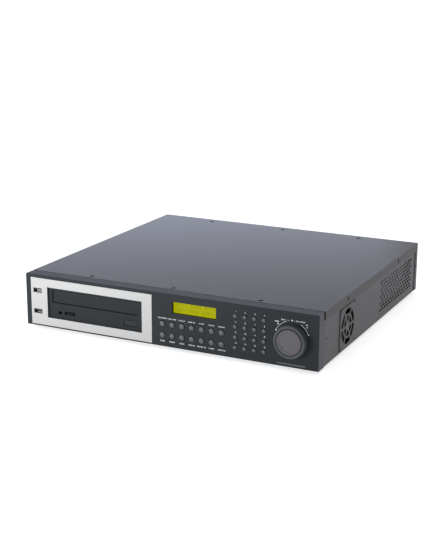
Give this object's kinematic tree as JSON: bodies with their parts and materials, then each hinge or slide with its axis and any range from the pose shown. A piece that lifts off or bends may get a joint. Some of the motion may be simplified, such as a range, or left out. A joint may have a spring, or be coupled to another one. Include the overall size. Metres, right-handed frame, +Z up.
{
  "type": "dvr recorder",
  "caption": "Rack-width video recorder: steel case, front with optical drive, display, key fields and jog/shuttle knob, side fan, rear video sockets.",
  "frame": {"origin": "on the surface the feet stand on, at the middle of the width and of the full depth from the knob to the rear sockets", "axes": "+X to the right as the front is faced, +Y from the front to the rear, +Z up"},
  "size_m": [0.432, 0.429, 0.078],
  "materials": {
    "case_steel": "fine-textured paint",
    "rear_steel": "fine-textured paint",
    "cover_steel": "satin paint",
    "front_plastic": "fine grain",
    "trim_metal": "brushed",
    "drive_plastic": "fine grain",
    "button_plastic": "smooth",
    "bright_steel": "plated",
    "dark_plastic": "smooth",
    "socket_steel": "plated",
    "display": "lit",
    "circuit_board": "satin",
    "dial_plastic": "satin",
    "knob_plastic": "satin",
    "fan_plastic": "satin",
    "screw_steel": "blackened",
    "foot_rubber": "matt",
    "cast_aluminium": "cast",
    "socket_nickel": "nickel plated",
    "socket_shell": "plated",
    "inlet_plastic": "smooth",
    "rocker_plastic": "smooth",
    "key_plastic": "satin",
    "printed_ink": "screen printed",
    "display_dots": "satin",
    "insulator_plastic": "satin",
    "gold_contact": "gold plated",
    "terminal_plastic": "satin",
    "insert_plastic": "satin",
    "audio_plastic": "satin"
  },
  "bodies": {
    "root": {"chassis_base": "case_steel", "side_walls": "case_steel", "top_cover": "cover_steel", "rear_panel": "rear_steel", "front_bezel": "front_plastic", "trim_plate": "trim_metal", "drive_faceplate": "drive_plastic", "drive_case": "bright_steel", "headphone_jack": "dark_plastic", "usb_ports": "socket_steel", "lcd_glass": "display", "lcd_module": "dark_plastic", "front_board": "circuit_board", "jog_encoder": "bright_steel", "fan_frame": "fan_plastic", "screws": "screw_steel", "feet": "foot_rubber", "main_board": "circuit_board", "power_supply": "bright_steel", "hard_drives": "cast_aluminium", "bnc_connectors": "socket_nickel", "io_connectors": "socket_shell", "ac_inlet": "inlet_plastic"},
    "drive_tray": {"drive_tray": "drive_plastic"},
    "shuttle_ring": {"shuttle_ring": "knob_plastic"},
    "jog_dial": {"jog_dial": "dial_plastic"},
    "fan_rotor": {"fan_rotor": "fan_plastic"},
    "power_rocker": {"power_rocker": "rocker_plastic"},
    "volume_wheel": {"volume_wheel": "dark_plastic"},
    "eject_button": {"eject_button": "button_plastic"},
    "function_key_1": {"function_key_1": "key_plastic"},
    "function_key_2": {"function_key_2": "key_plastic"},
    "function_key_3": {"function_key_3": "key_plastic"},
    "function_key_4": {"function_key_4": "key_plastic"},
    "function_key_5": {"function_key_5": "key_plastic"},
    "function_key_6": {"function_key_6": "key_plastic"},
    "function_key_7": {"function_key_7": "key_plastic"},
    "function_key_8": {"function_key_8": "key_plastic"},
    "function_key_9": {"function_key_9": "key_plastic"},
    "function_key_10": {"function_key_10": "key_plastic"},
    "function_key_11": {"function_key_11": "key_plastic"},
    "function_key_12": {"function_key_12": "key_plastic"},
    "function_key_13": {"function_key_13": "key_plastic"},
    "function_key_14": {"function_key_14": "key_plastic"},
    "channel_key_1": {"channel_key_1": "key_plastic"},
    "channel_key_2": {"channel_key_2": "key_plastic"},
    "channel_key_3": {"channel_key_3": "key_plastic"},
    "channel_key_4": {"channel_key_4": "key_plastic"},
    "channel_key_5": {"channel_key_5": "key_plastic"},
    "channel_key_6": {"channel_key_6": "key_plastic"},
    "channel_key_7": {"channel_key_7": "key_plastic"},
    "channel_key_8": {"channel_key_8": "key_plastic"},
    "channel_key_9": {"channel_key_9": "key_plastic"},
    "channel_key_10": {"channel_key_10": "key_plastic"},
    "channel_key_11": {"channel_key_11": "key_plastic"},
    "channel_key_12": {"channel_key_12": "key_plastic"},
    "channel_key_13": {"channel_key_13": "key_plastic"},
    "channel_key_14": {"channel_key_14": "key_plastic"},
    "channel_key_15": {"channel_key_15": "key_plastic"},
    "channel_key_16": {"channel_key_16": "key_plastic"}
  },
  "joints": [
    {"name": "drive_tray_slide", "type": "slide", "parent": "root", "child": "drive_tray", "axis": [0, -1, 0], "range_m": [0, 0.135]},
    {"name": "shuttle_turn", "type": "hinge", "parent": "root", "child": "shuttle_ring", "pos_m": [0.1795, -0.2095, 0.0406], "axis": [0, -1, 0], "range_deg": [-70, 70], "stiffness_Nm_per_rad": 0.02},
    {"name": "jog_spin", "type": "hinge", "parent": "root", "child": "jog_dial", "pos_m": [0.1795, -0.2095, 0.0406], "axis": [0, -1, 0], "continuous": true},
    {"name": "fan_spin", "type": "hinge", "parent": "root", "child": "fan_rotor", "pos_m": [0.2015, -0.1023, 0.0362], "axis": [1, 0, 0], "continuous": true},
    {"name": "power_switch", "type": "hinge", "parent": "root", "child": "power_rocker", "pos_m": [0.169, 0.2017, 0.055], "axis": [-1, 0, 0], "range_deg": [0, 16]},
    {"name": "volume_turn", "type": "hinge", "parent": "root", "child": "volume_wheel", "pos_m": [-0.1471, -0.1925, 0.02815], "axis": [0, 0, 1], "range_deg": [-135, 135]},
    {"name": "eject_press", "type": "slide", "parent": "root", "child": "eject_button", "axis": [0, 1, 0], "range_m": [0, 0.001], "stiffness_N_per_m": 300},
    {"name": "function_key_1_press", "type": "slide", "parent": "root", "child": "function_key_1", "axis": [0, 1, 0], "range_m": [0, 0.0012], "stiffness_N_per_m": 250},
    {"name": "function_key_2_press", "type": "slide", "parent": "root", "child": "function_key_2", "axis": [0, 1, 0], "range_m": [0, 0.0012], "stiffness_N_per_m": 250},
    {"name": "function_key_3_press", "type": "slide", "parent": "root", "child": "function_key_3", "axis": [0, 1, 0], "range_m": [0, 0.0012], "stiffness_N_per_m": 250},
    {"name": "function_key_4_press", "type": "slide", "parent": "root", "child": "function_key_4", "axis": [0, 1, 0], "range_m": [0, 0.0012], "stiffness_N_per_m": 250},
    {"name": "function_key_5_press", "type": "slide", "parent": "root", "child": "function_key_5", "axis": [0, 1, 0], "range_m": [0, 0.0012], "stiffness_N_per_m": 250},
    {"name": "function_key_6_press", "type": "slide", "parent": "root", "child": "function_key_6", "axis": [0, 1, 0], "range_m": [0, 0.0012], "stiffness_N_per_m": 250},
    {"name": "function_key_7_press", "type": "slide", "parent": "root", "child": "function_key_7", "axis": [0, 1, 0], "range_m": [0, 0.0012], "stiffness_N_per_m": 250},
    {"name": "function_key_8_press", "type": "slide", "parent": "root", "child": "function_key_8", "axis": [0, 1, 0], "range_m": [0, 0.0012], "stiffness_N_per_m": 250},
    {"name": "function_key_9_press", "type": "slide", "parent": "root", "child": "function_key_9", "axis": [0, 1, 0], "range_m": [0, 0.0012], "stiffness_N_per_m": 250},
    {"name": "function_key_10_press", "type": "slide", "parent": "root", "child": "function_key_10", "axis": [0, 1, 0], "range_m": [0, 0.0012], "stiffness_N_per_m": 250},
    {"name": "function_key_11_press", "type": "slide", "parent": "root", "child": "function_key_11", "axis": [0, 1, 0], "range_m": [0, 0.0012], "stiffness_N_per_m": 250},
    {"name": "function_key_12_press", "type": "slide", "parent": "root", "child": "function_key_12", "axis": [0, 1, 0], "range_m": [0, 0.0012], "stiffness_N_per_m": 250},
    {"name": "function_key_13_press", "type": "slide", "parent": "root", "child": "function_key_13", "axis": [0, 1, 0], "range_m": [0, 0.0012], "stiffness_N_per_m": 250},
    {"name": "function_key_14_press", "type": "slide", "parent": "root", "child": "function_key_14", "axis": [0, 1, 0], "range_m": [0, 0.0012], "stiffness_N_per_m": 250},
    {"name": "channel_key_1_press", "type": "slide", "parent": "root", "child": "channel_key_1", "axis": [0, 1, 0], "range_m": [0, 0.0012], "stiffness_N_per_m": 250},
    {"name": "channel_key_2_press", "type": "slide", "parent": "root", "child": "channel_key_2", "axis": [0, 1, 0], "range_m": [0, 0.0012], "stiffness_N_per_m": 250},
    {"name": "channel_key_3_press", "type": "slide", "parent": "root", "child": "channel_key_3", "axis": [0, 1, 0], "range_m": [0, 0.0012], "stiffness_N_per_m": 250},
    {"name": "channel_key_4_press", "type": "slide", "parent": "root", "child": "channel_key_4", "axis": [0, 1, 0], "range_m": [0, 0.0012], "stiffness_N_per_m": 250},
    {"name": "channel_key_5_press", "type": "slide", "parent": "root", "child": "channel_key_5", "axis": [0, 1, 0], "range_m": [0, 0.0012], "stiffness_N_per_m": 250},
    {"name": "channel_key_6_press", "type": "slide", "parent": "root", "child": "channel_key_6", "axis": [0, 1, 0], "range_m": [0, 0.0012], "stiffness_N_per_m": 250},
    {"name": "channel_key_7_press", "type": "slide", "parent": "root", "child": "channel_key_7", "axis": [0, 1, 0], "range_m": [0, 0.0012], "stiffness_N_per_m": 250},
    {"name": "channel_key_8_press", "type": "slide", "parent": "root", "child": "channel_key_8", "axis": [0, 1, 0], "range_m": [0, 0.0012], "stiffness_N_per_m": 250},
    {"name": "channel_key_9_press", "type": "slide", "parent": "root", "child": "channel_key_9", "axis": [0, 1, 0], "range_m": [0, 0.0012], "stiffness_N_per_m": 250},
    {"name": "channel_key_10_press", "type": "slide", "parent": "root", "child": "channel_key_10", "axis": [0, 1, 0], "range_m": [0, 0.0012], "stiffness_N_per_m": 250},
    {"name": "channel_key_11_press", "type": "slide", "parent": "root", "child": "channel_key_11", "axis": [0, 1, 0], "range_m": [0, 0.0012], "stiffness_N_per_m": 250},
    {"name": "channel_key_12_press", "type": "slide", "parent": "root", "child": "channel_key_12", "axis": [0, 1, 0], "range_m": [0, 0.0012], "stiffness_N_per_m": 250},
    {"name": "channel_key_13_press", "type": "slide", "parent": "root", "child": "channel_key_13", "axis": [0, 1, 0], "range_m": [0, 0.0012], "stiffness_N_per_m": 250},
    {"name": "channel_key_14_press", "type": "slide", "parent": "root", "child": "channel_key_14", "axis": [0, 1, 0], "range_m": [0, 0.0012], "stiffness_N_per_m": 250},
    {"name": "channel_key_15_press", "type": "slide", "parent": "root", "child": "channel_key_15", "axis": [0, 1, 0], "range_m": [0, 0.0012], "stiffness_N_per_m": 250},
    {"name": "channel_key_16_press", "type": "slide", "parent": "root", "child": "channel_key_16", "axis": [0, 1, 0], "range_m": [0, 0.0012], "stiffness_N_per_m": 250}
  ]
}
